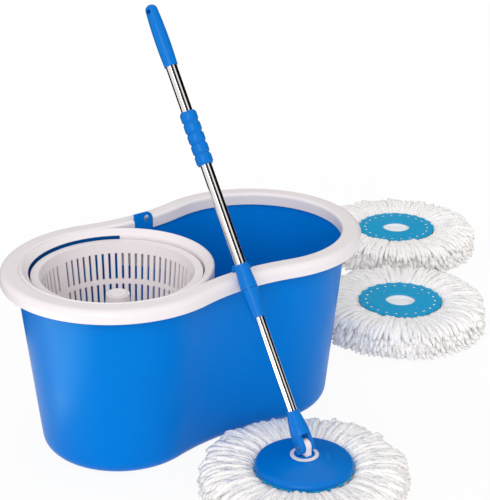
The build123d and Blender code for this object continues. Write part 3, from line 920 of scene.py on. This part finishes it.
def add_swelling(build, centre, angle, circle, half):
    """A pillow of backing cloth that fills one hole of the ring from below."""
    outward = Vector((math.cos(angle), math.sin(angle), 0))
    sideways = Vector((-math.sin(angle), math.cos(angle), 0))
    base = Vector((centre[0], centre[1], 0)) + outward * circle
    rings = []
    for share, height in swell_rings:
        ring = []
        for step in range(swell_steps):
            turn = 2 * math.pi * step / swell_steps
            spot = base + outward * (half[0] * share * math.cos(turn))
            spot += sideways * (half[1] * share * math.sin(turn))
            ring.append(build.verts.new((spot.x, spot.y, height)))
        rings.append(ring)
    close_tube(build, rings)


print("holes in a ring:", sum(hole["count"] for hole in ring_holes))

# %% Backing pads
bunches = 46
steps_per_bunch = 4
ripple_height = 0.0005
ripple_start = 0.05
ripple_width = 0.009
pad_profile = [
    (0.0, 0.0355),
    (0.0120, 0.0356),
    (0.0196, 0.0353),
    (0.0213, 0.0362),
    (0.0221, 0.0384),
    (0.0240, 0.0392),
    (0.0400, 0.0393),
    (0.0520, 0.0393),
    (0.0565, 0.0388),
    (0.0590, 0.0370),
    (0.0570, 0.0330),
    (0.0400, 0.0290),
    (0.0, 0.0280),
]


def backing_pad(name, centre):
    """A closed, slightly rippled disc of backing cloth under a refill's ring."""
    build = bmesh.new()
    steps = bunches * steps_per_bunch
    bands = []
    for radius, height in pad_profile[1:-1]:
        ripple = ripple_height * max(0.0, (radius - ripple_start) / ripple_width)
        band = []
        for step in range(steps):
            angle = 2 * math.pi * step / steps
            spot = round_axis(centre, radius, angle, height + ripple * math.cos(bunches * angle))
            band.append(build.verts.new(spot))
        bands.append(band)
    for upper, lower in zip(bands, bands[1:]):
        for step in range(steps):
            after = (step + 1) % steps
            build.faces.new((upper[step], lower[step], lower[after], upper[after]))
    ends = ((bands[0], pad_profile[0][1], 1), (bands[-1], pad_profile[-1][1], -1))
    for band, height, turn in ends:
        hub = build.verts.new((centre[0], centre[1], height))
        for step in range(steps):
            build.faces.new((hub, band[step], band[(step + 1) % steps])[::turn])
    for hole in ring_holes:
        for place in range(hole["count"]):
            angle = 2 * math.pi * (place + hole["shift"]) / hole["count"]
            add_swelling(build, centre, angle, hole["circle"], hole["half"])
    return finished_piece(build, name, backing)


print("pad profile points:", len(pad_profile))

# %% [markdown]
# The clumps are what the eye reads first, so the numbers are drawn clump by clump: its direction,
# how far it reaches and how high it rides, and then its strands, row by row. Two rows lie on top.
# The rows under them show only at the rim, so they are made from there on, and a plain core of yarn
# fills the wreath between them and closes the gaps between the strands. The lower rows and the core
# are painted darker, as painted shade for lying under the top rows.

# %% Yarn core
clumps = 42
row_strands = 3
head_reach = 0.131
head_start = 0.05
core_reach = 0.119
core_lift = 0.87
core_tip = 0.024
core_foot = 0.003
core_inset = 0.003
core_points = 12
# The core is painted darker than the strands over it: painted shade.
core_painted_shade = 0.85


def add_core(build, shade_layer, centre):
    """The closed body of yarn inside the wreath, just under its top strands."""
    crest = strand_path(head_start, core_reach, core_lift, core_tip, core_points)
    profile = [tuple(point) for point in crest]
    profile += [(core_reach - core_inset, core_foot), (head_start, core_foot)]
    steps = clumps * row_strands
    around = []
    for step in range(steps):
        angle = 2 * math.pi * step / steps
        column = []
        for radius, height in profile:
            vertex = build.verts.new(round_axis(centre, radius, angle, height))
            vertex[shade_layer] = core_painted_shade
            column.append(vertex)
        around.append(column)
    for step in range(steps):
        here, there = around[step], around[(step + 1) % steps]
        for k in range(len(profile)):
            after = (k + 1) % len(profile)
            build.faces.new((here[k], here[after], there[after], there[k]))


print("core reach:", core_reach, "of", head_reach)

# %% [markdown]
# No two strands of a real mop are alike, so each size below is a range, and the seeded dice pick from
# it. A strand sways to the side, bounces up and down, swells after the seam and closes at its tip.
# Modifiers could bend one strand many ways, but plain numbers are easier to read and to change.

# %% Strand ranges
strand_steps = 15
# Each row's shade paints it darker the lower it lies, a painted shade under the rows above; the clump and strand
# shades are random tones.
rows = [
    {"first": 0, "lift": 1.0, "offset": 0.0, "tips": (0.031, 0.041), "shade": 1.0},
    {"first": 0, "lift": 0.94, "offset": 0.5, "tips": (0.024, 0.035), "shade": 0.97},
    {"first": 8, "lift": 0.72, "offset": 0.0, "tips": (0.015, 0.025), "shade": 0.93},
    {"first": 8, "lift": 0.48, "offset": 0.5, "tips": (0.008, 0.016), "shade": 0.9},
    {"first": 8, "lift": 0.24, "offset": 0.0, "tips": (0.0045, 0.007), "shade": 0.86},
]
clump_ranges = {"turn": (-0.15, 0.15), "reach": (0.955, 1.0), "lift": (0.95, 1.0), "shade": (0.7, 1.0)}
strand_ranges = {
    "turn": (-0.018, 0.018),
    "reach": (0.945, 1.0),
    "lift": (0.95, 1.0),
    "thick": (0.0035, 0.0043),
    "wobble": (0.5, 1.4),
    "phase": (0, 2 * math.pi),
    "shade": (0.88, 1.1),
}
twists = (0.42, 0.5)
sway_size, sway_waves = 0.0026, 5.0
bounce_size, bounce_waves = 0.0014, 8.0
fan_start, fan_loss = 1.1, 0.15
seam_size, swell_size, swell_rate = 0.62, 0.42, 1.8
floor_room = 1.15
tip_round = (0.45, 0.82, 0.97)
print("strands of a head:", clumps * row_strands * len(rows))

# %% Strand bundles
def strand_bundle(name, centre, seed):
    """All the strands of one refill head, as one mesh standing on the floor."""
    dice = random.Random(seed)
    build = bmesh.new()
    shade_layer = build.verts.layers.float.new("strand_shade")
    add_core(build, shade_layer, centre)
    for clump in range(clumps):
        heading = 2 * math.pi * (clump + dice.uniform(*clump_ranges["turn"])) / clumps
        clump_reach = head_reach * dice.uniform(*clump_ranges["reach"])
        clump_lift = dice.uniform(*clump_ranges["lift"])
        clump_shade = dice.uniform(*clump_ranges["shade"])
        for strand in range(len(rows) * row_strands):
            row = rows[strand // row_strands]
            place = strand % row_strands - 1 + row["offset"]
            fan = place * 2 * math.pi / clumps / row_strands + dice.uniform(*strand_ranges["turn"])
            reach = clump_reach * dice.uniform(*strand_ranges["reach"])
            lift = clump_lift * dice.uniform(*strand_ranges["lift"]) * row["lift"]
            thick = dice.uniform(*strand_ranges["thick"])
            wobble = dice.uniform(*strand_ranges["wobble"])
            phase = dice.uniform(*strand_ranges["phase"])
            # A random tone of the clump and the strand, times the row's painted shade.
            shade = min(1.0, clump_shade * dice.uniform(*strand_ranges["shade"]) * row["shade"])
            profile = strand_path(head_start, reach, lift, dice.uniform(*row["tips"]), strand_steps)
            points = []
            radii = []
            for step in range(row["first"], strand_steps):
                radius, height = profile[step]
                along = step / (strand_steps - 1)
                sway = sway_size * wobble * math.sin(phase + sway_waves * along) * along
                turn = heading + fan * (fan_start - fan_loss * along) + sway / radius
                bounce = bounce_size * wobble * math.sin(phase * 2 + bounce_waves * along) * along
                level = max(height + bounce, thick * floor_room)
                points.append(Vector(round_axis(centre, radius, turn, level)))
                swell = seam_size + swell_size * min(1.0, along * swell_rate)
                from_tip = strand_steps - 1 - step
                close = tip_round[from_tip] if from_tip < len(tip_round) else 1.0
                radii.append(thick * swell * close)
            add_strand(build, shade_layer, points, radii, dice.choice(twists), shade)
    return finished_piece(build, name, yarn)


heads = [("refill", "mop_head"), ("spare_1", "spare_1"), ("spare_2", "spare_2")]
for seed, (head, body) in enumerate(heads, start=11):
    bundle = strand_bundle(f"{head}_yarn", middle(f"{head}_ring"), seed)
    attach(bundle, body)
    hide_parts(f"{head}_strands")
    pad = backing_pad(f"{head}_pad", middle(f"{head}_ring"))
    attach(pad, body)
    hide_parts(f"{head}_strands")
    print(bundle.name, "faces:", len(bundle.data.polygons), "pad faces:", len(pad.data.polygons))

# %% [markdown]
# ## Floor and light
# The photograph stands on plain white. More light would give that too, but it would bleach the
# object. So the floor and the world are white only to the camera, in reflections and through clear
# surfaces, and the floor keeps a share of its own shading there, which holds the soft shadow.

# %% Floor
half_floor = 12.0
floor_grey = (0.93, 0.93, 0.93, 1)
floor_white_share = 0.92
white = (1, 1, 1, 1)


def seen_rays(tree):
    """1 for rays of the camera, of reflections and of clear surfaces, and 0 for the rest."""
    rays = add_node(tree, "ShaderNodeLightPath")
    seen = work_out(
        tree, "MAXIMUM", rays.outputs["Is Camera Ray"], rays.outputs["Is Glossy Ray"]
    )
    return work_out(tree, "MAXIMUM", seen, rays.outputs["Is Transmission Ray"])


def flat_sheet(name, centre, across, along, material):
    """A flat sheet, given by its centre and two half sides."""
    corners = [centre + across * x + along * y for x, y in ((-1, -1), (1, -1), (1, 1), (-1, 1))]
    mesh = bpy.data.meshes.new(name)
    mesh.from_pydata([tuple(corner) for corner in corners], [], [(0, 1, 2, 3)])
    mesh.materials.append(material)
    return place_object(name, mesh)


floor_material, floor_tree, floor_shader = new_material("floor_pale")
fill_inputs(
    floor_tree,
    floor_shader,
    {"Base Color": floor_grey, "Roughness": 0.9, "Specular IOR Level": 0.0},
)
floor_glow = add_node(floor_tree, "ShaderNodeEmission", "white", {"Color": white, "Strength": 1.0})
floor_mix = add_node(
    floor_tree,
    "ShaderNodeMixShader",
    "white where it is seen",
    {
        0: work_out(floor_tree, "MULTIPLY", seen_rays(floor_tree), floor_white_share),
        1: floor_shader.outputs["BSDF"],
        2: floor_glow.outputs["Emission"],
    },
)
fill_inputs(
    floor_tree, floor_tree.nodes["Material Output"], {"Surface": floor_mix.outputs["Shader"]}
)
floor = flat_sheet(
    "floor", Vector(), Vector((half_floor, 0, 0)), Vector((0, half_floor, 0)), floor_material
)
print("floor:", 2 * half_floor, "m")

# %% World
fill_strength = 0.8
world = bpy.data.worlds.new("studio")
bpy.context.scene.world = world
world.use_nodes = True
world_tree = world.node_tree
world_tree.nodes.clear()
fill = add_node(
    world_tree, "ShaderNodeBackground", "fill", {"Color": white, "Strength": fill_strength}
)
backdrop = add_node(world_tree, "ShaderNodeBackground", "white", {"Color": white, "Strength": 1.0})
pick = add_node(
    world_tree,
    "ShaderNodeMixShader",
    "white where it is seen",
    {0: seen_rays(world_tree), 1: fill.outputs["Background"], 2: backdrop.outputs["Background"]},
)
add_node(world_tree, "ShaderNodeOutputWorld", "", {"Surface": pick.outputs["Shader"]})
print("world fill:", fill_strength)

# %% [markdown]
# One broad lamp gives the plastic its shape without hard shadows. It shines from low down, just to the
# left of the camera, because the photograph shows the tub's near side evenly lit. A sun is used, since
# its light is the same on the near and the far pieces.

# %% Lamp
lamp_energy = 1.25
lamp_width = math.radians(40)
lamp_slope = math.radians(63)
lamp_turn = math.radians(8)
sun_data = bpy.data.lights.new("broad_lamp", "SUN")
sun_data.energy = lamp_energy
sun_data.angle = lamp_width
sun = place_object("broad_lamp", sun_data)
sun.rotation_euler = (lamp_slope, 0, camera_heading - lamp_turn)
print("lamp:", lamp_energy)

# %% [markdown]
# Polished tube shows the room as stripes along its length, and a white room would leave it blank.
# A photographer stands black cards out of the picture for that. Here two broad cards on the right
# darken the tube's right edge, one above the lens draws the line in its middle, and a small one
# behind the bucket darkens its left edge. Only reflections see the cards.

# %% Black cards
def stage_card(name, centre, across, along, material):
    """A flat card, given by its centre and two half sides, that only reflections see."""
    card = flat_sheet(name, centre, across, along, material)
    card.visible_camera = False
    card.visible_diffuse = False
    card.visible_shadow = False
    card.visible_transmission = False
    print(name, "at", [round(v, 2) for v in centre])


card_black, card_tree, card_shader = new_material("card_black")
fill_inputs(
    card_tree,
    card_shader,
    {"Base Color": (0.004, 0.003, 0.003, 1), "Roughness": 1.0, "Specular IOR Level": 0.0},
)
pole_middle = sum((Vector(corner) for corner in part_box("outer_tube")), Vector()) / 2
card_half_height = 1.25
cards = [
    {"name": "right_card", "heading": (0.83, -0.47, 0.31), "distance": 2.0, "width": 1.9},
    {"name": "far_card", "heading": (0.956, 0.281, -0.093), "distance": 1.3, "width": 2.2},
    {"name": "line_card", "heading": (-0.407, -0.762, 0.497), "distance": 2.6, "width": 2.3},
    {"name": "back_card", "heading": (-0.116, 0.87, -0.479), "distance": 0.55, "width": 0.95},
]
for card in cards:
    outward = Vector(card["heading"]).normalized()
    along = (pole_line - outward * pole_line.dot(outward)).normalized()
    across = along.cross(outward) * (card["width"] / 2)
    card_centre = pole_middle + outward * card["distance"]
    stage_card(card["name"], card_centre, across, along * card_half_height, card_black)

# %% [markdown]
# The tub has a soft highlight on its left, which a lamp there would only give together with a second
# shadow. A bright card that lies on the floor, again for reflections only, gives it alone.

# %% Bright card
card_glow = 5.0
card_lift = 0.002
card_left, card_near = 0.42, 0.25
card_half_width, card_half_depth = 0.25, 0.18
card_white, glow_tree, glow_shader = new_material("card_white")
fill_inputs(
    glow_tree,
    glow_shader,
    {"Base Color": (0, 0, 0, 1), "Emission Color": white, "Emission Strength": card_glow},
)
leftward = Vector((-math.cos(camera_heading), -math.sin(camera_heading), 0))
nearer = Vector((-leftward.y, leftward.x, 0))
floor_card_centre = Vector((*basket_axis, card_lift)) + leftward * card_left + nearer * card_near
stage_card(
    "floor_card",
    floor_card_centre,
    leftward * card_half_width,
    nearer * card_half_depth,
    card_white,
)
